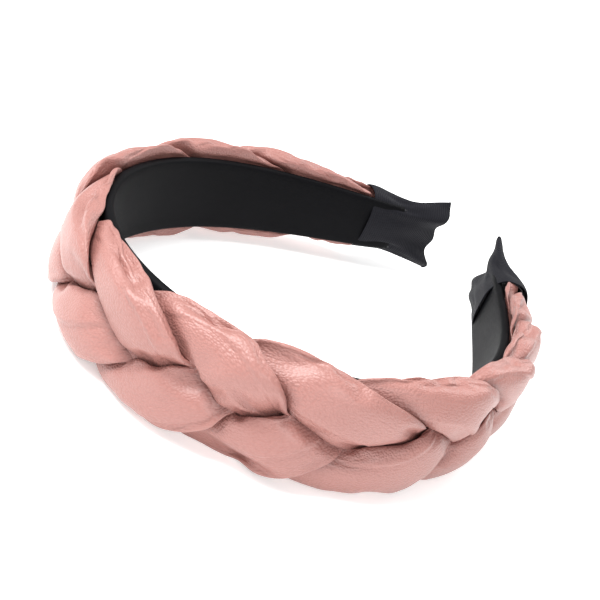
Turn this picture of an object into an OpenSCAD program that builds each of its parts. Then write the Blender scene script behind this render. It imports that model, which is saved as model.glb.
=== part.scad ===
// Braided headband: a sprung strip in a satin sleeve, a three-strand braid on its outside
// and a ribbon wrap on each end. It lies on its edge, crown towards -Y and ends towards +Y.

/* [Band] */
// Length along the inner face from the crown's middle to the tip of an end wrap
half_length = 185; // [170:1:200]
// Turn of the band per half, before it straightens, in degrees
crown_turn = 218.4; // [200:0.1:225]
// How much the legs straighten, in degrees
leg_unwind = 86.2; // [80:0.1:100]
// How much the tips curl back out, in degrees
tip_unwind = 23.7; // [10:0.1:30]
// Width of the sleeved band at the crown
crown_width = 26; // [20:0.5:30]
// Width that the band has lost by its tips
width_loss = 12.8; // [8:0.1:14]

/* [Strip and sleeve] */
// Thickness of the sprung plastic strip
strip_thickness = 1.5; // [1:0.1:2]
// Thickness of the satin sleeve
satin_thickness = 0.5; // [0.3:0.1:0.8]
// Thickness of the glue film between sleeve and braid
glue_thickness = 0.3; // [0.2:0.1:0.5]
// Width of the glue film at the crown
glue_width = 17; // [10:1:20]
// Length of a half of the strip
strip_half_length = 170; // [165:1:172]

/* [Braid] */
// Length of band in which a strand goes across and back
braid_pitch = 80.5; // [70:0.5:90]
// Place of a strand's turn at the upper edge, from the crown's middle
braid_phase = 15.5; // [0:0.5:27]
// How much tighter the braiding gets from one end to the other, in turns
braid_drift = 0.093; // [0:0.001:0.12]
// Extra turn in the hand-worked stitches beside the crown
tight_spot = 0.12; // [0:0.01:0.15]
// Sideways swing of a strand at the crown
swing = 9.7; // [8:0.1:11]
// Rise and fall of a strand as it passes over and under
weave = 3.8; // [3.6:0.1:4]
// Width of a strand at the crown
strand_width = 11.4; // [10:0.1:12]
// Thickness of a strand at the crown
strand_thickness = 4.3; // [3.5:0.1:4.5]
// Share of the braid's width that is lost at its ends
width_gather = 0.45; // [0.3:0.01:0.55]
// Share of the braid's thickness that is lost at its ends
height_gather = 0.58; // [0.4:0.01:0.65]
// Length of a half of the braid
braid_half_length = 161; // [155:1:164]

/* [End wraps] */
// Place where a wrap begins, from the crown's middle
wrap_start = 157; // [150:1:160]
// Thickness of the wrap's ribbon
ribbon_thickness = 0.6; // [0.4:0.1:1]
// Width of the flared tail at its tip
tail_width = 22; // [16:1:26]
// Thickness of the flattened tail
tail_thickness = 2; // [1:0.1:3]
// Width of the binding thread's winding
winding_width = 3; // [2:0.5:4]
// Thickness of the binding thread
thread_thickness = 0.4; // [0.3:0.1:0.6]

/* [Hidden] */

leather = [0.82, 0.55, 0.52];
satin = [0.09, 0.09, 0.10];
plastic = [0.16, 0.16, 0.17];
amber = [0.85, 0.75, 0.5];

path_steps = 240;
path_step = half_length / path_steps;
strand_sides = 12;
strand_rings = 60;      // rings in half a strand
band_rings = 50;        // stations in half a band
band_step = half_length / band_rings;
sleeve_outside = 2 * satin_thickness + strip_thickness;
braid_inside = sleeve_outside + glue_thickness + 0.1;
winding_start = wrap_start + 1;
winding_outside = braid_inside + thread_thickness
    + height_share(winding_start) * (2 * weave + strand_thickness);
winding_margin = -1.1;  // the winding stands this far past the sleeve's edges inside
wrap_outside = winding_outside + ribbon_thickness + 0.5;
wrap_end = strip_half_length + 1;
wrap_floor = -thread_thickness - 0.1;
wrap_margin = winding_margin - thread_thickness - 0.1;
sleeve_half_length = strip_half_length - 2;
far_out = 60;           // well outside everything, for cutting
lift = 15.38;           // brings the lowest stitches to the table
shift = 6.99;           // brings the middle of the overall length to the origin

// Direction of the band at the share u of its half length, in degrees
function heading(u) = crown_turn * u - leg_unwind * pow(u, 3) - tip_unwind * pow(u, 5);

// The inner face of one half, from the crown's middle to the tip
path = [for (i = 0, x = 0, y = 0; i <= path_steps;
    x = x + path_step * cos(heading((i + 0.5) / path_steps)),
    y = y + path_step * sin(heading((i + 0.5) / path_steps)), i = i + 1) [i * path_step, x, y]];
path_x = [for (p = path) [p[0], p[1]]];
path_y = [for (p = path) [p[0], p[2]]];
path_depth = path[path_steps][2];

// A point at the distance s along the band, r outwards from its inner face and w across it
function band_point(s, r, w) = let (a = abs(s), side = s < 0 ? -1 : 1, h = heading(a / half_length))
    [side * (lookup(a, path_x) + r * sin(h)), lookup(a, path_y) - r * cos(h), w];

function half_width(s) = (crown_width - width_loss * pow(abs(s) / half_length, 2)) / 2;

// The braid's width and height at s, as shares of those at the crown
function width_share(s) = 1 - width_gather * pow(abs(s) / braid_half_length, 5);
function height_share(s) = 1 - height_gather * pow(abs(s) / braid_half_length, 10);

// A strand's centre: k is 0, 1 or 2
function strand_turns(s) = (s - braid_phase) / braid_pitch + braid_drift * pow(s / 100, 2)
    + tight_spot * exp(-pow((s - 38) / 18, 2));
function strand_angle(k, s) = 360 * strand_turns(s) + 120 * k;
function strand_centre(k, s) = let (a = strand_angle(k, s))
    band_point(s, braid_inside + height_share(s) * (weave + strand_thickness / 2 + weave * sin(2 * a)),
        width_share(s) * swing * cos(a));

function unit(v) = v / norm(v);

// One ring of a strand's surface
function strand_ring(k, s) = let (
        wide = width_share(s) * strand_width / 2,
        high = height_share(s) * strand_thickness / 2,
        along = unit(strand_centre(k, s + 0.2) - strand_centre(k, s - 0.2)),
        out = unit(band_point(s, 1, 0) - band_point(s, 0, 0)),
        across = unit(cross(out, along)),
        up = cross(along, across),
        centre = strand_centre(k, s))
    [for (i = [0 : strand_sides - 1]) let (a = 360 * i / strand_sides)
        centre + wide * cos(a) * across + high * sin(a) * up];

module on_table() {
    translate([0, shift - path_depth / 2, lift]) children();
}

// Half a strand, from the crown's middle to the end on that side
module strand(k, side) {
    rings = [for (i = [0 : strand_rings]) strand_ring(k, side * braid_half_length * i / strand_rings)];
    points = [for (ring = rings) each ring];
    n = strand_sides;
    walls = [for (j = [0 : strand_rings - 1], i = [0 : n - 1])
        [j * n + i, j * n + (i + 1) % n, (j + 1) * n + (i + 1) % n, (j + 1) * n + i]];
    caps = [[for (i = [n - 1 : -1 : 0]) i], [for (i = [0 : n - 1]) strand_rings * n + i]];
    faces = concat(walls, caps);
    turned = side < 0 ? faces : [for (f = faces) [for (i = [len(f) - 1 : -1 : 0]) f[i]]];
    color(leather) on_table() polyhedron(points, turned);
}

// The same point on the straight facet between two stations, so that layers lie flush
function facet_point(s, r) = let (a = abs(s) / band_step, i = min(floor(a), band_rings - 1), f = a - i,
        side = s < 0 ? -1 : 1, p = band_point(i * band_step, r, 0), q = band_point((i + 1) * band_step, r, 0))
    [side * ((1 - f) * p[0] + f * q[0]), (1 - f) * p[1] + f * q[1]];

// Stations from one place to another, with both ends
function stations(from, to) = concat([from],
    [for (i = [0 : band_rings]) if (i * band_step > from + 0.01 && i * band_step < to - 0.01) i * band_step],
    [to]);

function flat(r) = [[0, r], [half_length, r]];

// The plan of a stretch of band between two heights, each given along the band
module layer_plan(side, from, to, inside, outside) {
    places = stations(from, to);
    n = len(places);
    inner = [for (s = places) facet_point(side * max(s, 0.001), lookup(s, inside))];
    outer = [for (i = [n - 1 : -1 : 0]) facet_point(side * max(places[i], 0.001), lookup(places[i], outside))];
    polygon(concat(inner, outer));
}

// The same stretch with its width, which follows the band's taper less a margin on each edge
module layer(side, from, to, inside, outside, margin) {
    edge = [for (i = [0 : band_rings]) let (s = i * band_step) [lookup(s, path_y), half_width(s) - margin]];
    cut = concat([[-far_out, edge[0][1]]], edge, [[path_depth + far_out, edge[band_rings][1]]]);
    below = [for (i = [len(cut) - 1 : -1 : 0]) [cut[i][0], -cut[i][1]]];
    intersection() {
        translate([0, 0, -crown_width]) linear_extrude(2 * crown_width)
            layer_plan(side, from, to, inside, outside);
        rotate([90, 0, 90]) translate([0, 0, -2 * far_out]) linear_extrude(4 * far_out)
            polygon(concat(cut, below));
    }
}

module strip(side) {
    color(plastic) on_table() layer(side, 0, strip_half_length, flat(satin_thickness),
        flat(satin_thickness + strip_thickness), satin_thickness);
}

module satin_sleeve(side) {
    color(satin) on_table() difference() {
        layer(side, 0, sleeve_half_length, flat(0), flat(sleeve_outside), 0);
        layer(side, -1, sleeve_half_length + 1, flat(satin_thickness),
            flat(satin_thickness + strip_thickness), satin_thickness);
    }
}

module glue_film(side) {
    margin = (crown_width - glue_width) / 2;
    color(amber) on_table() layer(side, 0, wrap_start - 3, flat(sleeve_outside),
        flat(sleeve_outside + glue_thickness), margin);
}

// Thread wound round the strand ends and the band, inside the wrap
module binding_thread(side) {
    end = winding_start + winding_width;
    color(satin) on_table() difference() {
        layer(side, winding_start, end, flat(-thread_thickness), flat(winding_outside),
            winding_margin - thread_thickness);
        layer(side, winding_start - 1, end + 1, flat(0), flat(winding_outside - thread_thickness),
            winding_margin);
    }
}

// Ribbon round the end of the band, with a flattened tail that flares past it
module end_wrap(side) {
    tail_middle = sleeve_outside / 2;
    flat_outside = sleeve_outside + 2 * ribbon_thickness;
    outside = [[wrap_start, wrap_outside], [winding_start + winding_width + 1, wrap_outside],
        [wrap_end, flat_outside]];
    cavity = [for (p = outside) [p[0], p[1] - ribbon_thickness]];
    color(satin) on_table() union() {
        difference() {
            layer(side, wrap_start, wrap_end, flat(wrap_floor - ribbon_thickness), outside,
                wrap_margin - ribbon_thickness);
            layer(side, wrap_start - 1, strip_half_length, flat(wrap_floor), cavity, wrap_margin);
        }
        intersection() {
            translate([0, 0, -tail_width / 2]) linear_extrude(tail_width) layer_plan(side, wrap_end - 0.5,
                half_length, flat(tail_middle - tail_thickness / 2), flat(tail_middle + tail_thickness / 2));
            tail_outline();
        }
    }
}

// Side view of the flare, as wide as the wrap where it begins
module tail_outline() {
    start = lookup(strip_half_length - 1, path_y);
    root = half_width(strip_half_length) - wrap_margin;
    rotate([90, 0, 90]) translate([0, 0, -far_out]) linear_extrude(2 * far_out) polygon([
        [start, -root], [path_depth + 5, -tail_width / 2 - 1],
        [path_depth + 5, tail_width / 2 + 1], [start, root]]);
}

strip(-1);  // strip_left
strip(1);  // strip_right
satin_sleeve(-1);  // satin_sleeve_left
satin_sleeve(1);  // satin_sleeve_right
glue_film(-1);  // glue_film_left
glue_film(1);  // glue_film_right
strand(0, -1);  // strand_1_left
strand(0, 1);  // strand_1_right
strand(1, -1);  // strand_2_left
strand(1, 1);  // strand_2_right
strand(2, -1);  // strand_3_left
strand(2, 1);  // strand_3_right
binding_thread(-1);  // binding_thread_left
binding_thread(1);  // binding_thread_right
end_wrap(-1);  // end_wrap_left
end_wrap(1);  // end_wrap_right
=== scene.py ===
# Braided headband: a sprung strip in a satin sleeve, three strands of soft faux leather
# braided along its outside, and a ribbon wrap with a flared tail on each end.
import math
import bpy
import numpy as np
from mathutils import Matrix, Vector, noise
from mathutils.bvhtree import BVHTree


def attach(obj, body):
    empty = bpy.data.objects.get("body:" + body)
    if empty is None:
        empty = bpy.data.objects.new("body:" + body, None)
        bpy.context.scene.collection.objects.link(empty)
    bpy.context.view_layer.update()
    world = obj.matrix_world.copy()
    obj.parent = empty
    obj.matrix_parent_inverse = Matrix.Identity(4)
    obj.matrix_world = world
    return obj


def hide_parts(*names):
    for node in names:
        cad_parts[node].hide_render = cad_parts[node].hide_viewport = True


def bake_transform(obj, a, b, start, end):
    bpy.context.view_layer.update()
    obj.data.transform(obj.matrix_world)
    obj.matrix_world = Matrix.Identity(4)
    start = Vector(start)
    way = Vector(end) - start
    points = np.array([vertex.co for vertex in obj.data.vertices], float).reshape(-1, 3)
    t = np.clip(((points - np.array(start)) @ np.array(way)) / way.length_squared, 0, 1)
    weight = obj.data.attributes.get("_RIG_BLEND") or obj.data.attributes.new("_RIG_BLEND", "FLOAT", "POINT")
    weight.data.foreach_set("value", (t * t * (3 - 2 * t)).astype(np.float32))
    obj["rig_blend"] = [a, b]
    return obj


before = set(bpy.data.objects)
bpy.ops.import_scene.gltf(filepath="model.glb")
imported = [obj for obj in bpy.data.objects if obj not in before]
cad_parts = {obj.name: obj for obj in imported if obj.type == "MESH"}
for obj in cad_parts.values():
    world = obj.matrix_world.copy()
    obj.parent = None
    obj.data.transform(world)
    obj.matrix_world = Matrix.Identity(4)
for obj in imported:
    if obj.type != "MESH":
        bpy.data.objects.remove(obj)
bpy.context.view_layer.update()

mm = 0.001
halves = ("left_half", "right_half")
sides = ((-1, "left_half", "left"), (1, "right_half", "right"))
print("frame loaded:", len(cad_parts), "nodes")


# the band's own line, as the CAD draws it
band = {
    "halfLength": 185 * mm,
    "crownTurn": 218.4,       # degrees from crown to tip, if the bend stayed as tight as at the crown
    "legUnwind": 86.2,        # what the straighter leg takes off that
    "tipUnwind": 23.7,
    "crownWidth": 26 * mm,
    "widthLoss": 12.8 * mm,
    "shift": 6.99 * mm,       # middle of the overall length to the origin
    "lift": 15.38 * mm,       # lowest stitches to the table
    "steps": 240,
    "flexReach": 60 * mm,     # how far from the crown the band bends when it is opened
}


def heading(share):
    turn = band["crownTurn"] * share - band["legUnwind"] * share**3
    return np.radians(turn - band["tipUnwind"] * share**5)


def tracePath():
    step = band["halfLength"] / band["steps"]
    turn = heading((np.arange(band["steps"]) + 0.5) / band["steps"])
    x = np.concatenate([[0], np.cumsum(step * np.cos(turn))])
    y = np.concatenate([[0], np.cumsum(step * np.sin(turn))])
    return np.linspace(0, band["halfLength"], band["steps"] + 1), x, y


pathS, pathX, pathY = tracePath()
pathBack = pathY[-1] / 2 - band["shift"]


def bandPoint(s, r, w):
    # s along the band from the crown, r outwards from its inner face, w across it
    s, r, w = np.broadcast_arrays(*(np.asarray(v, float) for v in (s, r, w)))
    far, side = np.abs(s), np.where(s < 0, -1, 1)
    turn = heading(far / band["halfLength"])
    x = side * (np.interp(far, pathS, pathX) + r * np.sin(turn))
    y = np.interp(far, pathS, pathY) - r * np.cos(turn) - pathBack
    return np.stack([x, y, w + band["lift"]], -1)


def halfWidth(s):
    return (band["crownWidth"] - band["widthLoss"] * (np.abs(s) / band["halfLength"]) ** 2) / 2


def smooth(x):
    x = np.clip(x, 0, 1)
    return x * x * (3 - 2 * x)


def unit(v):
    return v / np.linalg.norm(v, axis=-1, keepdims=True)


def rounded(turn, squareness):
    # a circle's cosine and sine, drawn out towards a square as squareness passes 2
    power = 2 / squareness
    across, up = np.cos(turn), np.sin(turn)
    return np.sign(across) * np.abs(across) ** power, np.sign(up) * np.abs(up) ** power


# camera and lamps
view = {
    "azimuth": 27.04, "elevation": 25.73, "roll": 24.81,      # degrees
    "distance": 316.5 * mm, "lens": 70.9, "nearest": 10 * mm,
    "right": 5.26 * mm, "up": 2.21 * mm, "back": 0.94 * mm,   # from the middle of the picture
}

studio = {
    "lamps": {                # place, size, watts
        "key": ((-0.26, -0.26, 0.68), 0.44, 10.0),
        "side": ((0.60, -0.42, 0.40), 0.30, 2.6),
        "behind": ((0.1, 0.7, 0.5), 0.5, 2.5),
    },
    "sky": 0.55,
}


def addCamera():
    turn, tilt, roll = (math.radians(view[name]) for name in ("azimuth", "elevation", "roll"))
    back = Vector((math.sin(turn) * math.cos(tilt), -math.cos(turn) * math.cos(tilt), math.sin(tilt)))
    level = Vector((math.cos(turn), math.sin(turn), 0))
    top = back.cross(level)
    right = level * math.cos(roll) + top * math.sin(roll)
    up = top * math.cos(roll) - level * math.sin(roll)
    aim = Vector((0, -view["back"], band["lift"])) - right * view["right"] - up * view["up"]
    bpy.ops.object.camera_add()
    camera = bpy.context.object
    camera.name = "camera"
    camera.data.lens = view["lens"]
    camera.data.clip_start = view["nearest"]
    turned = Matrix((right, up, back)).transposed().to_4x4()
    camera.matrix_world = Matrix.Translation(aim + back * view["distance"]) @ turned
    bpy.context.scene.camera = camera


def addLamps():
    for name, (place, size, watts) in studio["lamps"].items():
        bpy.ops.object.light_add(type="AREA", location=place)
        lamp = bpy.context.object
        lamp.name = "lamp_" + name
        lamp.data.shape = "SQUARE"
        lamp.data.size = size
        lamp.data.energy = watts
        lamp.rotation_euler = (-Vector(place)).to_track_quat("-Z", "Y").to_euler()
    world = bpy.data.worlds.new("studio")
    world.use_nodes = True
    sky = world.node_tree.nodes["Background"]
    sky.inputs["Color"].default_value = (1, 1, 1, 1)
    sky.inputs["Strength"].default_value = studio["sky"]
    bpy.context.scene.world = world
    bpy.context.scene.view_settings.view_transform = "Standard"


bpy.ops.object.select_all(action="DESELECT")
addCamera()
addLamps()
print("camera and lamps placed")


# materials
class Wire:
    # a socket that takes part in sums
    def __init__(self, finish, socket):
        self.finish, self.socket = finish, socket

    def maths(self, operation, *values):
        node = self.finish.add("ShaderNodeMath", {"operation": operation}, dict(enumerate(values)))
        return node["Value"]

    def __add__(self, other):
        return self.maths("ADD", self, other)

    def __radd__(self, other):
        return self.maths("ADD", other, self)

    def __mul__(self, other):
        return self.maths("MULTIPLY", self, other)

    def __rmul__(self, other):
        return self.maths("MULTIPLY", other, self)

    def wave(self, length):
        return (self * (2 * math.pi / length)).sine()

    def sine(self):
        return self.maths("SINE", self)


class Finish:
    def __init__(self, name):
        self.material = bpy.data.materials.new(name)
        self.material.use_nodes = True
        self.tree = self.material.node_tree
        self.tree.nodes.clear()

    def add(self, kind, settings=None, values=None):
        # settings first, then the values or links of its sockets
        node = self.tree.nodes.new(kind)
        for key, value in (settings or {}).items():
            setattr(node, key, value)
        for key, value in (values or {}).items():
            socket = node.inputs[key]
            if isinstance(value, Wire):
                self.tree.links.new(value.socket, socket)
            else:
                socket.default_value = value
        return {output.name: Wire(self, output) for output in node.outputs if output.enabled}

    def cut(self):
        # the sheet's own flat measures, in metres: around it, then along the band
        return self.add("ShaderNodeUVMap", {"uv_map": "cut"})["UV"]

    def place(self):
        return self.add("ShaderNodeTexCoord")["Object"]

    def mixColour(self, share, first, second):
        # 0, 6 and 7 are the factor and the two colours
        return self.add("ShaderNodeMix", {"data_type": "RGBA"}, {0: share, 6: first, 7: second})["Result"]

    def noise(self, vector, scale, detail=2.0, roughness=0.5, distortion=0.0):
        return self.add("ShaderNodeTexNoise", {}, {
            "Vector": vector, "Scale": scale, "Detail": detail,
            "Roughness": roughness, "Distortion": distortion})["Fac"]

    def stretched(self, vector, scale):
        return self.add("ShaderNodeMapping", {}, {"Vector": vector, "Scale": scale})["Vector"]

    def surface(self, values):
        shader = self.add("ShaderNodeBsdfPrincipled", {}, values)["BSDF"]
        self.add("ShaderNodeOutputMaterial", {}, {"Surface": shader})
        return self.material

    def bump(self, height, distance, strength):
        return self.add("ShaderNodeBump", {}, {
            "Height": height, "Distance": distance, "Strength": strength})["Normal"]


leatherLook = {
    "rose": ((0.325, 0.140, 0.119, 1), (0.372, 0.170, 0.147, 1)),
    "worn": (0.420, 0.206, 0.183, 1),
    "grain": (0.265, 0.100, 0.080, 1),
    "tuck": (0.150, 0.048, 0.040, 1),     # painted shade, deep between two strands
    "pebbles": 2000.0,                    # to the metre
    "depth": 0.20 * mm,
}


def leatherFinish():
    finish = Finish("rose_leather")
    cut = finish.cut()
    # how close another strand lies; it sets where shade is painted into the colour below
    tuck = finish.add("ShaderNodeAttribute", {"attribute_name": "tuck"})["Fac"]
    pebble = finish.add("ShaderNodeTexVoronoi", {"voronoi_dimensions": "2D", "feature": "SMOOTH_F1"},
                        {"Vector": cut, "Scale": leatherLook["pebbles"], "Smoothness": 0.6})["Distance"]
    fine = finish.noise(cut, 2600.0, detail=3.0, roughness=0.6)
    drawn = finish.noise(finish.stretched(cut, (1.0, 0.35, 1.0)), 160.0, detail=3.0, distortion=0.3)
    cloudy = finish.noise(cut, 55.0, detail=3.0)
    broad = finish.noise(cut, 14.0, detail=1.0)
    rose = finish.mixColour(cloudy, *leatherLook["rose"])
    rose = finish.mixColour(broad * 0.35, rose, leatherLook["worn"])
    rose = finish.mixColour(pebble * 0.4, rose, leatherLook["grain"])
    # painted shade: the leather turns dark brown where another strand lies close against it
    rose = finish.mixColour(tuck * 0.55, rose, leatherLook["tuck"])
    height = pebble * -1.0 + fine * 0.25 + drawn * 0.08
    return finish.surface({
        "Base Color": rose,
        "Roughness": 0.36 + cloudy * 0.10 + fine * 0.08,
        "Coat Weight": 0.22 + broad * 0.12,
        "Coat Roughness": 0.32,
        "Specular IOR Level": 0.5,
        "Normal": finish.bump(height, leatherLook["depth"], 0.9),
    })


satinLook = {
    "black": ((0.0022, 0.0022, 0.0026, 1), (0.0042, 0.0042, 0.0050, 1)),
    "lint": (0.008, 0.008, 0.010, 1),
    "row": 0.28 * mm,                     # one row of floats to the next
    "float": 1.1 * mm,                    # length of one float
    "depth": 0.04 * mm,
}


def satinFinish():
    finish = Finish("black_satin_weave")
    cut = finish.cut()
    parts = finish.add("ShaderNodeSeparateXYZ", {}, {"Vector": cut})
    rows = parts["X"].wave(satinLook["row"])
    # every other row of floats is shifted by half a float
    shifted = parts["X"] * (math.pi / satinLook["row"])
    floats = (parts["Y"] * (2 * math.pi / satinLook["float"]) + shifted).sine()
    lint = finish.noise(finish.stretched(cut, (1.0, 0.12, 1.0)), 2400.0, detail=3.0)
    cloudy = finish.noise(cut, 70.0, detail=3.0)
    black = finish.mixColour(cloudy, *satinLook["black"])
    black = finish.mixColour(lint * 0.35, black, satinLook["lint"])
    return finish.surface({
        "Base Color": black,
        "Roughness": 0.46 + lint * 0.14,
        "Specular IOR Level": 0.05,
        "Normal": finish.bump(rows * 0.3 + floats * 0.25 + lint * 0.5, satinLook["depth"], 0.7),
    })


ribbonLook = {
    "ribs": ((0.005, 0.005, 0.0065, 1), (0.012, 0.012, 0.016, 1)),
    "threads": (0.022, 0.022, 0.029, 1),
    "cloudy": (0.012, 0.012, 0.015, 1),
    "rib": 0.75 * mm,
    "depth": 0.12 * mm,
}


def ribbonFinish():
    finish = Finish("black_ribbed_ribbon")
    cut = finish.cut()
    parts = finish.add("ShaderNodeSeparateXYZ", {}, {"Vector": cut})
    ribs = parts["Y"].wave(ribbonLook["rib"]) * 0.5 + 0.5
    threads = finish.noise(finish.stretched(cut, (0.35, 1.0, 1.0)), 3600.0, detail=3.0)
    cloudy = finish.noise(cut, 120.0, detail=3.0)
    black = finish.mixColour(ribs * 0.8, *ribbonLook["ribs"])
    black = finish.mixColour(threads * 0.4, black, ribbonLook["threads"])
    black = finish.mixColour(cloudy * 0.3, black, ribbonLook["cloudy"])
    return finish.surface({
        "Base Color": black,
        "Roughness": 0.56 + threads * 0.16,
        "Specular IOR Level": 0.09,
        "Sheen Weight": 0.02,
        "Sheen Roughness": 0.45,
        "Normal": finish.bump(ribs * 0.8 + threads * 0.5, ribbonLook["depth"], 0.85),
    })


def threadFinish():
    finish = Finish("black_twisted_thread")
    twist = finish.noise(finish.stretched(finish.place(), (1.0, 1.0, 0.4)), 5200.0)
    black = finish.mixColour(twist, (0.010, 0.010, 0.012, 1), (0.032, 0.032, 0.036, 1))
    return finish.surface({"Base Color": black, "Roughness": 0.5 + twist * 0.2,
                           "Normal": finish.bump(twist, 0.1 * mm, 0.8)})


def plasticFinish():
    finish = Finish("hoop_plastic_moulded")
    place = finish.place()
    orangePeel = finish.noise(place, 900.0)
    cloudy = finish.noise(place, 60.0, detail=3.0)
    grey = finish.mixColour(cloudy, (0.020, 0.020, 0.022, 1), (0.032, 0.032, 0.034, 1))
    return finish.surface({"Base Color": grey, "Roughness": 0.38 + orangePeel * 0.15,
                           "Normal": finish.bump(orangePeel, 0.03 * mm, 0.5)})


def glueFinish():
    finish = Finish("dried_glue")
    streaks = finish.noise(finish.place(), 350.0, detail=4.0, roughness=0.6, distortion=0.5)
    amber = finish.mixColour(streaks, (0.42, 0.30, 0.14, 1), (0.60, 0.47, 0.26, 1))
    return finish.surface({"Base Color": amber, "Roughness": 0.25 + streaks * 0.3,
                           "Normal": finish.bump(streaks, 0.08 * mm, 0.7)})


def tableFinish():
    finish = Finish("pale_table")
    cloudy = finish.noise(finish.place(), 3.0)
    white = finish.mixColour(cloudy, (0.86, 0.86, 0.86, 1), (0.89, 0.89, 0.89, 1))
    return finish.surface({"Base Color": white, "Roughness": 0.85,
                           "Emission Color": (1, 1, 1, 1), "Emission Strength": 0.4})


leather, satin, ribbon = leatherFinish(), satinFinish(), ribbonFinish()
thread, plastic, glue = threadFinish(), plasticFinish(), glueFinish()
print("materials made")


# helpers for the pieces
def loft(name, rings, along, around, capped):
    # rings: stations x points x 3; a closed tube with UVs in metres, its seam at the first point
    stations, count = rings.shape[:2]
    index = np.arange(stations * count).reshape(stations, count)
    after = np.roll(index, -1, axis=1)
    quads = np.stack([index[:-1], after[:-1], after[1:], index[1:]], -1).reshape(-1, 4)
    faces = quads.tolist()
    if capped:
        faces += [index[0][::-1].tolist(), index[-1].tolist()]
    mesh = bpy.data.meshes.new(name)
    mesh.from_pydata(rings.reshape(-1, 3).tolist(), [], faces)
    piece = bpy.data.objects.new(name, mesh)
    bpy.context.scene.collection.objects.link(piece)
    fullAround = np.concatenate([around, around[:, :1] + girth(rings)[:, None]], axis=1)
    row, column = np.divmod(np.arange(len(quads)), count)
    corners = [(fullAround[row + down, column + over], along[row + down])
               for down, over in ((0, 0), (0, 1), (1, 1), (1, 0))]
    flat = np.transpose(corners, (2, 0, 1)).reshape(-1, 2)
    places = np.zeros((len(mesh.loops), 2), np.float32)
    places[:len(flat)] = flat
    mesh.uv_layers.new(name="cut").data.foreach_set("uv", places.ravel())
    setAttribute(piece, "alongBand", np.repeat(along, count))
    mesh.shade_smooth()
    outwards(piece)
    return piece


def girth(rings):
    return np.linalg.norm(np.roll(rings, -1, axis=1) - rings, axis=-1).sum(1)


def aroundLengths(rings):
    steps = np.linalg.norm(rings[:, 1:] - rings[:, :-1], axis=-1)
    return np.concatenate([np.zeros((len(rings), 1)), np.cumsum(steps, axis=1)], axis=1)


def setAttribute(piece, name, values):
    data = piece.data.attributes.get(name) or piece.data.attributes.new(name, "FLOAT", "POINT")
    data.data.foreach_set("value", np.asarray(values, np.float32))


def getAttribute(piece, name):
    values = np.zeros(len(piece.data.vertices), np.float32)
    piece.data.attributes[name].data.foreach_get("value", values)
    return values.astype(float)


def points(piece, what="co"):
    values = np.zeros(len(piece.data.vertices) * 3, np.float32)
    piece.data.vertices.foreach_get(what, values)
    return values.reshape(-1, 3).astype(float)


def setPoints(piece, places):
    piece.data.vertices.foreach_set("co", places.astype(np.float32).ravel())
    piece.data.update()


def pick(*pieces):
    bpy.ops.object.select_all(action="DESELECT")
    for piece in pieces:
        piece.select_set(True)
    bpy.context.view_layer.objects.active = pieces[0]


def outwards(piece):
    pick(piece)
    bpy.ops.object.mode_set(mode="EDIT")
    bpy.ops.mesh.select_all(action="SELECT")
    bpy.ops.mesh.normals_make_consistent(inside=False)
    bpy.ops.object.mode_set(mode="OBJECT")


def applyModifier(piece, kind, **settings):
    pick(piece)
    modifier = piece.modifiers.new(kind.title(), kind)
    for key, value in settings.items():
        setattr(modifier, key, value)
    bpy.ops.object.modifier_apply(modifier=modifier.name)


def finishPiece(piece, material, slot, *nodes):
    piece.data.materials.clear()
    piece.data.materials.append(material)
    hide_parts(*nodes)


def flexAtCrown(piece):
    # the band bends evenly about its crown, by length along it rather than by place in space
    reach = band["flexReach"]
    start, end = (bandPoint(side * reach, 0, 0).tolist() for side in (-1, 1))
    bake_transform(piece, *halves, start=start, end=end)
    setAttribute(piece, "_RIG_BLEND", smooth((getAttribute(piece, "alongBand") + reach) / (2 * reach)))


# plastic strip and glue film: straight bars, bent along the band's path
strip = {"length": 340 * mm, "thickness": 1.5 * mm, "inside": 0.5 * mm, "margin": 1.0 * mm,
         "rounding": 0.5 * mm}
film = {"length": 320 * mm, "width": 17 * mm, "thickness": 0.3 * mm, "inside": 2.5 * mm,
        "taper": 0.4, "rounding": 0.1 * mm}
bar = {"cuts": 119, "bevel": 3, "sharp": 40}      # sharp: degrees, past which an edge stays crisp


def addPathCurve():
    line = bandPoint(np.linspace(-1, 1, 2 * band["steps"] + 1) * band["halfLength"], 0, 0)
    curve = bpy.data.curves.new("band_path", "CURVE")
    curve.dimensions = "3D"
    curve.twist_mode = "Z_UP"
    spline = curve.splines.new("POLY")
    spline.points.add(len(line) - 1)
    for point, place in zip(spline.points, line):
        point.co = (*place, 1)
    path = bpy.data.objects.new("band_path", curve)
    bpy.context.scene.collection.objects.link(path)
    return path


def bentStrip(name, path, size, width, taper):
    # taper: the share of its width that the bar loses at its ends
    length, thickness = size["length"], size["thickness"]
    bpy.ops.mesh.primitive_cube_add(size=1)
    piece = bpy.context.object
    piece.name = name
    bpy.ops.transform.resize(value=(length, thickness, width))
    bpy.ops.object.transform_apply(location=True, rotation=True, scale=True)
    bpy.ops.object.mode_set(mode="EDIT")
    for cut in np.linspace(-length / 2, length / 2, bar["cuts"] + 2)[1:-1]:
        bpy.ops.mesh.select_all(action="SELECT")
        bpy.ops.mesh.bisect(plane_co=(float(cut), 0, 0), plane_no=(1, 0, 0))
    bpy.ops.object.mode_set(mode="OBJECT")
    applyModifier(piece, "BEVEL", width=size["rounding"], segments=bar["bevel"], limit_method="ANGLE")
    place = points(piece)
    place[:, 2] *= 1 - taper * (2 * np.abs(place[:, 0]) / length) ** 2
    setAttribute(piece, "alongBand", place[:, 0])
    place[:, 0] += band["halfLength"]
    place[:, 1] -= size["inside"] + thickness / 2
    setPoints(piece, place)
    applyModifier(piece, "CURVE", object=path, deform_axis="POS_X")
    outwards(piece)
    bpy.ops.object.shade_smooth_by_angle(angle=math.radians(bar["sharp"]))
    return piece


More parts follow.
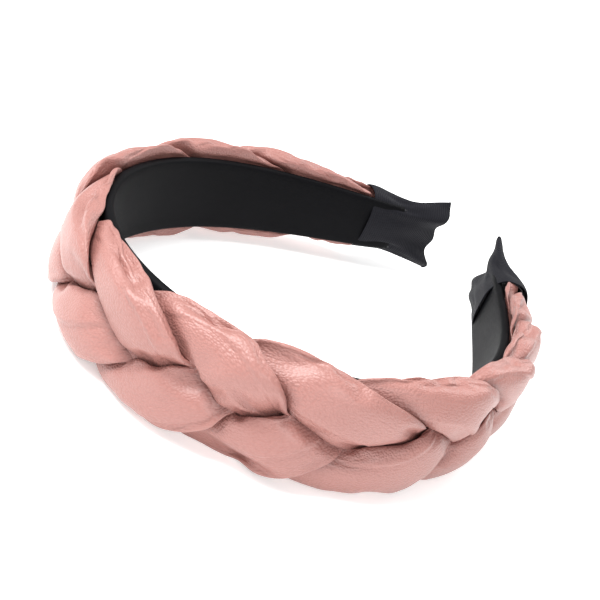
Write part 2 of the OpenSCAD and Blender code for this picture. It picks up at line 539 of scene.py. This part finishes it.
def makeStrips():
    path = addPathCurve()
    wide = band["crownWidth"] - strip["margin"]
    narrow = 2 * halfWidth(strip["length"] / 2) - strip["margin"]
    sprung = bentStrip("sprung_strip", path, strip, wide, 1 - narrow / wide)
    finishPiece(sprung, plastic, "hoop_plastic", "strip_left", "strip_right")
    layer = bentStrip("glue_layer", path, film, film["width"], film["taper"])
    finishPiece(layer, glue, "glue", "glue_film_left", "glue_film_right")
    bpy.data.objects.remove(path)
    for piece in (sprung, layer):
        flexAtCrown(piece)
    return sprung


sprungStrip = makeStrips()
print("strip and glue film bent")


# satin sleeve
sleeve = {"half": 168 * mm, "stations": 181, "outside": 2.5 * mm, "rounding": 1.0 * mm,
          "cloth": 0.4 * mm, "flat": (57 * mm, 336 * mm), "straight": 6, "corner": 4,
          "ripple": 0.06 * mm, "rippleLengths": (5.1 * mm, 13.7 * mm)}


def sleeveSection(half):
    # one ring, from the middle of the inner face: across the band, and out from that face
    edge, rounding, high = half - sleeve["rounding"], sleeve["rounding"], sleeve["outside"]
    turns = np.linspace(0, np.pi / 2, sleeve["corner"])
    corner = [(edge + rounding * math.sin(t), rounding - rounding * math.cos(t)) for t in turns]
    ring = [(w, 0) for w in np.linspace(0, edge, sleeve["straight"], endpoint=False)]
    ring += corner + [(w, high - r) for w, r in corner[::-1]]
    top = [(w, high) for w in np.linspace(edge, -edge, 2 * sleeve["straight"])[1:-1]]
    return np.array(ring + top + [(-w, r) for w, r in ring[:0:-1]])


def makeSleeve():
    along = np.linspace(-sleeve["half"], sleeve["half"], sleeve["stations"])
    rings = []
    for s in along:
        w, r = sleeveSection(halfWidth(s)).T
        # the glue leaves faint ripples in the satin, which fade towards its edges
        ripple = sleeve["ripple"] * math.prod(math.sin(s / length) for length in sleeve["rippleLengths"])
        rings.append(bandPoint(s, r + ripple * np.cos(w / halfWidth(s) * np.pi / 2), w))
    rings = np.array(rings)
    piece = loft("satin_sleeve", rings, along, aroundLengths(rings), False)
    applyModifier(piece, "SOLIDIFY", thickness=sleeve["cloth"], offset=-1)
    finishPiece(piece, satin, "black_satin", "satin_sleeve_left", "satin_sleeve_right")
    flexAtCrown(piece)
    return piece


satinSleeve = makeSleeve()
print("sleeve made")


# braid: three flat tubes start as a slim plait, then widen and swell against a mould
braid = {
    "strands": 3, "half": 161 * mm, "pitch": 80.5 * mm, "phase": 15.5 * mm,
    "drift": 0.093,                       # turns that one leg gains over this length, and one loses
    "driftLength": 100 * mm,
    "tightTurns": 0.12, "tightAt": 38 * mm, "tightLength": 18 * mm,       # a shorter, tighter stitch
    "widthGather": 0.38, "heightGather": 0.40,        # shares lost where the wraps grip it
    "swing": 9.1 * mm, "weave": 3.7 * mm, "inside": 3.0 * mm, "gap": 0.3 * mm,
    "strandHalf": 5.2 * mm, "strandThick": 1.4 * mm, "roll": 0.12,
    "shoulders": (2.4, 0.75),             # how full and how blunt a strand's edges are
    "stations": 170, "around": 26, "pinned": 2, "fill": 0.45,
    "grow": 1.7,                          # how much wider a strand is than the space it starts in
    "growEnds": 0.5,                      # and how much more so towards the wraps
    "growFrom": 90 * mm, "growOver": 50 * mm, "growEase": 8 * mm,
    "scale": 10,                          # cloth runs ten times larger, so its distances stay large
    "frames": 18, "growFrames": 10, "pressure": 20, "stiff": 18, "bend": 2.0, "mass": 0.08,
}

mould = {
    "half": 166 * mm, "stations": 121, "arch": 17, "squareness": 2.8, "gather": 0.6, "wall": 6 * mm,
    "upper": 16.4 * mm, "lower": 15.55 * mm,          # reach above and below the band's middle
    "crownUpper": 14.3 * mm,              # lower beside the crown, so the sleeve's edge shows
    "crownAt": -18 * mm, "crownReach": 20 * mm, "crownEase": 25 * mm,
    "thick": 10.8 * mm,
    "bulge": 2.4 * mm, "bulgeAt": 100 * mm, "bulgeLength": 45 * mm,       # fuller half way down each leg
    "sill": 2.6 * mm,                     # from the band's inner face to where the arch springs
    "shelf": 2.1 * mm, "opening": 12.6 * mm,          # the ledge under the strands' edges
}


def widthShare(s):
    return 1 - braid["widthGather"] * (np.minimum(np.abs(s) / braid["half"], 1)) ** 5


def heightShare(s):
    return 1 - braid["heightGather"] * (np.minimum(np.abs(s) / braid["half"], 1)) ** 10


def strandTurns(s):
    tight = np.exp(-((s - braid["tightAt"]) / braid["tightLength"]) ** 2)
    return ((s - braid["phase"]) / braid["pitch"] + braid["drift"] * (s / braid["driftLength"]) ** 2
            + braid["tightTurns"] * tight)


def strandCentre(k, s):
    a = 2 * np.pi * (strandTurns(s) + k / braid["strands"])
    rise = braid["weave"] + braid["strandThick"] + braid["gap"] + braid["weave"] * np.sin(2 * a)
    return bandPoint(s, braid["inside"] + heightShare(s) * rise,
                     widthShare(s) * braid["swing"] * np.cos(a)), a


def growShare(s):
    wide = braid["grow"] - 1
    wide = wide + braid["growEnds"] * smooth((np.abs(s) - braid["growFrom"]) / braid["growOver"])
    return 1 + wide * smooth((braid["half"] - np.abs(s)) / braid["growEase"])


def strandRings(k, grow):
    # a lens-shaped tube round the strand's centre line, rolled a little as it crosses
    s = np.linspace(-braid["half"], braid["half"], braid["stations"])
    centre, a = strandCentre(k, s)
    step = 0.3 * mm
    ahead = unit(strandCentre(k, s + step)[0] - strandCentre(k, s - step)[0])
    out = unit(bandPoint(s, 1, 0) - bandPoint(s, 0, 0))
    across = unit(np.cross(out, ahead))
    up = np.cross(ahead, across)
    roll = (braid["roll"] * np.sin(a))[:, None]
    across, up = across * np.cos(roll) + up * np.sin(roll), up * np.cos(roll) - across * np.sin(roll)
    turn = np.linspace(0, 2 * np.pi, braid["around"], endpoint=False)
    full, blunt = braid["shoulders"]
    lens = np.maximum(0, 1 - np.abs(np.cos(turn)) ** full) ** blunt * np.sign(np.sin(turn).round(9))
    wide = np.cos(turn)[None] * (braid["strandHalf"] * widthShare(s) * grow)[:, None]
    high = lens[None] * (braid["strandThick"] * heightShare(s))[:, None]
    return centre[:, None] + wide[..., None] * across[:, None] + high[..., None] * up[:, None]


def sleeveRings(along):
    # the covered band as a plain bar, for the strands to rest on
    w = np.array([-1, 1, 1, -1])
    r = [0, 0, mould["sill"], mould["sill"]]
    return np.array([bandPoint(s, r, w * halfWidth(s)) for s in along])


def mouldRings(along):
    # a hollow form that the braid is pressed into: it keeps the outside flat and clear of the table
    rings = []
    for s in along:
        wide, high = widthShare(s), heightShare(s) ** mould["gather"]
        bulge = mould["bulge"] * math.exp(-((abs(s) - mould["bulgeAt"]) / mould["bulgeLength"]) ** 2)
        rise = (mould["thick"] + bulge) * high
        away = smooth((abs(s - mould["crownAt"]) - mould["crownReach"]) / mould["crownEase"])
        upper = mould["crownUpper"] + (mould["upper"] - mould["crownUpper"]) * away
        inner, outer = [(mould["shelf"], mould["opening"] * wide)], []
        for turn in np.linspace(0, np.pi, mould["arch"]):
            w, r = rounded(turn, mould["squareness"])
            w *= (upper if w > 0 else mould["lower"]) * wide
            r = mould["sill"] + rise * abs(r)
            inner.append((max(r, mould["shelf"]), w))
            share = (r - mould["sill"]) / rise
            flare = (w / mould["upper"] / wide) ** 2
            outer.append((r + mould["wall"] * share, w + np.sign(w) * mould["wall"] * flare))
        inner.append((mould["shelf"], -mould["opening"] * wide))
        section = np.array(inner + outer[::-1])
        rings.append(bandPoint(s, section[:, 0], section[:, 1]))
    return np.array(rings)


def addCollider(name, rings, along, outer, inner, friction):
    rings = rings * braid["scale"]
    piece = loft(name, rings, along, aroundLengths(rings), False)
    piece.modifiers.new("Collision", "COLLISION")
    piece.collision.thickness_outer = outer
    piece.collision.thickness_inner = inner
    piece.collision.cloth_friction = friction
    piece.collision.damping = 0.5
    return piece


def joinStarts(starts, along):
    bundle = [loft("start_" + str(k), rings * braid["scale"], along, aroundLengths(rings), True)
              for k, rings in enumerate(starts)]
    pick(*bundle)
    bpy.ops.object.join()
    return bpy.context.object


def holdEnds(cloth):
    # the first and last rings of each strand stay where the wraps grip them
    held = cloth.vertex_groups.new(name="held")
    stations, around, pinned = (braid[name] for name in ("stations", "around", "pinned"))
    rows = [*range(pinned), *range(stations - pinned, stations)]
    for k in range(braid["strands"]):
        first = k * stations * around
        held.add([first + row * around + i for row in rows for i in range(around)], 1, "REPLACE")


def keyWidening(cloth, along):
    # the cloth's rest shape follows this key, so the strands grow into their full width
    cloth.shape_key_add(name="Basis")
    wider = cloth.shape_key_add(name="wider")
    target = np.concatenate([strandRings(k, growShare(along)).reshape(-1, 3)
                             for k in range(braid["strands"])]) * braid["scale"]
    wider.data.foreach_set("co", target.astype(np.float32).ravel())
    for value, moment in ((0, 1), (1, braid["growFrames"])):
        wider.value = value
        wider.keyframe_insert("value", frame=moment)


def addCloth(piece):
    pick(piece)
    modifier = piece.modifiers.new("Cloth", "CLOTH")
    for key, value in {
        "quality": 5, "mass": braid["mass"], "air_damping": 1,
        "tension_stiffness": braid["stiff"], "compression_stiffness": braid["stiff"],
        "shear_stiffness": braid["stiff"] / 2, "bending_stiffness": braid["bend"],
        "tension_damping": 10, "compression_damping": 10, "shear_damping": 10, "bending_damping": 1,
        "use_dynamic_mesh": True, "vertex_group_mass": "held", "pin_stiffness": 5,
        "use_pressure": True, "uniform_pressure_force": braid["pressure"],
    }.items():
        setattr(modifier.settings, key, value)
    modifier.settings.effector_weights.gravity = 0
    for key, value in {
        "collision_quality": 3, "use_collision": True, "distance_min": 0.003,
        "use_self_collision": True, "self_distance_min": braid["gap"] * braid["scale"],
        "self_friction": 5,
    }.items():
        setattr(modifier.collision_settings, key, value)
    return modifier


def simulateBraid():
    starts = [strandRings(k, 1) for k in range(braid["strands"])]
    along = np.linspace(-braid["half"], braid["half"], braid["stations"])
    cloth = joinStarts(starts, along)
    holdEnds(cloth)
    keyWidening(cloth, along)
    ends = np.linspace(-mould["half"], mould["half"], mould["stations"])
    colliders = [
        addCollider("sleeve_hit", sleeveRings(ends), ends, outer=0.002, inner=0.05, friction=5),
        addCollider("mould_hit", mouldRings(ends), ends, outer=0.001, inner=0.02, friction=0),
    ]
    modifier = addCloth(cloth)
    last = braid["frames"] + 1
    modifier.point_cache.frame_start, modifier.point_cache.frame_end = 1, last
    for moment in range(1, last + 1):
        bpy.context.scene.frame_set(moment)
    pick(cloth)
    bpy.ops.object.convert(target="MESH")
    cloth = bpy.context.object
    shapes = (points(cloth) / braid["scale"]).reshape(np.shape(starts))
    for piece in [cloth] + colliders:
        bpy.data.objects.remove(piece)
    for action in list(bpy.data.actions):
        bpy.data.actions.remove(action)
    bpy.context.scene.frame_set(1)
    return list(shapes)


fold = {
    "height": 0.6 * mm, "edge": 0.07, "spread": 0.85,         # edge and spread: shares of half a strand
    "middle": 0.62, "wander": 47 * mm, "sway": 0.12, "swayLength": 11 * mm,
    "crease": 0.10 * mm, "creaseWidth": 2.4 * mm, "creaseLength": 17 * mm,
    "across": 9 * mm,                     # half the width of a strand laid flat
    "ease": 6 * mm,                       # folds fade this close to the wraps
    "near": 4 * mm, "touching": 0.25 * mm, "tuckReach": 2.2 * mm,
    "table": 0.05 * mm,                   # nothing reaches lower than this
}


def markTucks(pieces):
    # tuck is 1 where a strand touches another, and 0 well clear of it; the leather paints shade there, and
    # the folds use it too
    trees = [BVHTree.FromPolygons([v.co for v in piece.data.vertices],
                                  [tuple(face.vertices) for face in piece.data.polygons])
             for piece in pieces]
    for k, piece in enumerate(pieces):
        others = trees[:k] + trees[k + 1:]
        near = [min((tree.find_nearest(v.co, fold["near"])[3] or fold["near"]) for tree in others)
                for v in piece.data.vertices]
        clear = (np.array(near) - fold["touching"]) / fold["tuckReach"]
        setAttribute(piece, "tuck", 1 - smooth(clear))


def layFolds(piece, k):
    # the strip's own edge shows as a low step along each strand, and small creases run into the tucks
    s, level, face, tuck = (getAttribute(piece, name) for name in ("alongBand", "level", "face", "tuck"))
    where = (fold["middle"] * np.sin(s / fold["wander"] + 2.1 * k + 0.4)
             + fold["sway"] * np.sin(s / fold["swayLength"] + k))
    past = level - where
    step = smooth(past / fold["edge"] + 0.5) * (1 - smooth(past / fold["spread"])) ** 1.3
    lift = fold["height"] * step * smooth(face * 3) * (1 - 0.85 * tuck)
    creases = [noise.noise((a / fold["creaseWidth"], b / fold["creaseLength"], 7.3 * k + side))
               for a, b, side in zip(level * fold["across"], s, np.sign(face))]
    lift += fold["crease"] * np.array(creases) * (0.25 + 0.75 * tuck)
    ends = smooth((braid["half"] - np.abs(s)) / fold["ease"])
    places = points(piece) + points(piece, "normal") * (lift * ends)[:, None]
    places[:, 2] = np.maximum(places[:, 2], fold["table"])
    setPoints(piece, places)


def makeStrands():
    along = np.linspace(-braid["half"], braid["half"], braid["stations"])
    turn = np.linspace(0, 2 * np.pi, braid["around"], endpoint=False)
    pieces = []
    for k, rings in enumerate(simulateBraid()):
        piece = loft("leather_strand_" + str(k + 1), rings, along, aroundLengths(rings), True)
        setAttribute(piece, "level", np.tile(np.cos(turn), len(along)))
        setAttribute(piece, "face", np.tile(np.sin(turn), len(along)))
        pieces.append(piece)
    markTucks(pieces)
    for k, piece in enumerate(pieces):
        applyModifier(piece, "SUBSURF", levels=2, render_levels=2)
        layFolds(piece, k)
        piece.data.shade_smooth()
        finishPiece(piece, leather, "braid_leather", f"strand_{k + 1}_left", f"strand_{k + 1}_right")
        flexAtCrown(piece)


makeStrands()
print("strands braided")


# end wraps
wrap = {
    # distance from the crown, half width, height of its outside
    "stations": ((156.6, 10.3, 12.0), (158.5, 10.4, 12.1), (161, 10.1, 11.8), (164, 9.5, 11.0),
                 (167.5, 9.0, 9.4), (171, 9.0, 7.4), (175, 9.8, 5.2), (179, 10.8, 3.5),
                 (182.5, 11.7, 2.4), (185, 12.2, 1.9)),
    "floor": -0.85 * mm, "cloth": 0.35 * mm, "around": 72, "rows": 46, "easing": 3,
    "squareness": 2.5, "tailSquareness": 2.1, "flareFrom": 168 * mm, "flareOver": 15 * mm,
    "neck": 169 * mm, "neckLength": 7.5 * mm, "pinch": 0.6,   # share of a fold that narrows the neck
    # depth, how many, share of the phase, slant along the band
    "neckFolds": ((0.07, 7, 1, 260), (0.04, 13, -2, 0)),
    "tailWaves": ((1.5 * mm, 4.4, 1, 0), (0.7 * mm, 9.5, -1, 180)),
    "ragged": ((0.9 * mm, 7, 1, 0),),
    "corner": 2.6 * mm, "cutBack": 1.2 * mm,
    "phases": {-1: 2.1, 1: 0.7}, "corners": {-1: 0.7, 1: 1},  # the two tails differ
    "flat": (52 * mm, 29 * mm),
}


def easedStations():
    table = np.array(wrap["stations"])
    s = np.linspace(table[0, 0], table[-1, 0], wrap["rows"])
    halfs, tops = (np.interp(s, table[:, 0], table[:, column]) for column in (1, 2))
    for _ in range(wrap["easing"]):
        for line in (halfs, tops):
            line[1:-1] = (line[:-2] + 2 * line[1:-1] + line[2:]) / 4
    return s * mm, halfs * mm, tops * mm


def ripples(rows, across, phase, station):
    return sum(depth * np.sin(count * across + share * phase + slant * station)
               for depth, count, share, slant in rows)


def wrapRings(side):
    stations, halfs, tops = easedStations()
    turn = np.linspace(0, 2 * np.pi, wrap["around"], endpoint=False) - np.pi / 2
    phase = wrap["phases"][side]
    rings = []
    for i, (station, half, top) in enumerate(zip(stations, halfs, tops)):
        flare = smooth((station - wrap["flareFrom"]) / wrap["flareOver"])
        squareness = wrap["squareness"] + (wrap["tailSquareness"] - wrap["squareness"]) * flare
        across, r = rounded(turn, squareness)
        middle, rise = (top + wrap["floor"]) / 2, (top - wrap["floor"]) / 2
        # folds gather at the neck and fan out over the tail
        neck = math.exp(-((station - wrap["neck"]) / wrap["neckLength"]) ** 2)
        folds = neck * ripples(wrap["neckFolds"], turn, phase, station)
        wave = flare * ripples(wrap["tailWaves"], across, phase, station)
        # the cut end is uneven: its corners reach furthest
        corners = wrap["corner"] * np.abs(across) ** 3 * wrap["corners"][side]
        reach = flare * (corners + ripples(wrap["ragged"], across, phase, station) - wrap["cutBack"])
        rings.append(bandPoint(side * (station + reach * (i / wrap["rows"]) ** 2),
                               middle + r * rise * (1 + folds) + wave,
                               half * across * (1 + wrap["pinch"] * folds)))
    return np.array(rings), stations * side


def makeWrap(side, body, word):
    rings, along = wrapRings(side)
    piece = loft("ribbon_wrap_" + word, rings, along, aroundLengths(rings), False)
    applyModifier(piece, "SOLIDIFY", thickness=wrap["cloth"], offset=-1)
    applyModifier(piece, "SUBSURF", levels=1, render_levels=1)
    piece.data.shade_smooth()
    finishPiece(piece, ribbon, "black_ribbon", "end_wrap_" + word)
    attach(piece, body)


for side, body, word in sides:
    makeWrap(side, body, word)
print("wraps made")


# binding thread under each wrap
winding = {"start": 158.2 * mm, "pitch": 0.44 * mm, "turns": 7, "radius": 0.2 * mm, "squareness": 2.5,
           "half": 9.6 * mm, "floor": -0.25 * mm, "top": 10.9 * mm, "perTurn": 72, "around": 8}


def makeWinding(side, body, word):
    turn = np.arange(winding["turns"] * winding["perTurn"] + 1) * 2 * np.pi / winding["perTurn"]
    w, r = rounded(turn, winding["squareness"])
    middle, rise = (winding["top"] + winding["floor"]) / 2, (winding["top"] - winding["floor"]) / 2
    s = side * (winding["start"] + turn / (2 * np.pi) * winding["pitch"])
    line = bandPoint(s, middle + rise * r, winding["half"] * w)
    ahead = unit(np.gradient(line, axis=0))
    first = unit(np.cross(ahead, bandPoint(s, middle, 0) - line))
    second = np.cross(ahead, first)
    spin = np.linspace(0, 2 * np.pi, winding["around"], endpoint=False)[None, :, None]
    rings = line[:, None] + winding["radius"] * (np.cos(spin) * first[:, None]
                                                 + np.sin(spin) * second[:, None])
    piece = loft("thread_winding_" + word, rings, s, aroundLengths(rings), True)
    finishPiece(piece, thread, "black_thread", "binding_thread_" + word)
    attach(piece, body)


for side, body, word in sides:
    makeWinding(side, body, word)
print("thread wound")


# table, large enough that its edges are never seen
bpy.ops.mesh.primitive_plane_add(size=40)
table = bpy.context.object
table.name = "table"
table.data.materials.append(tableFinish())
print("table laid")
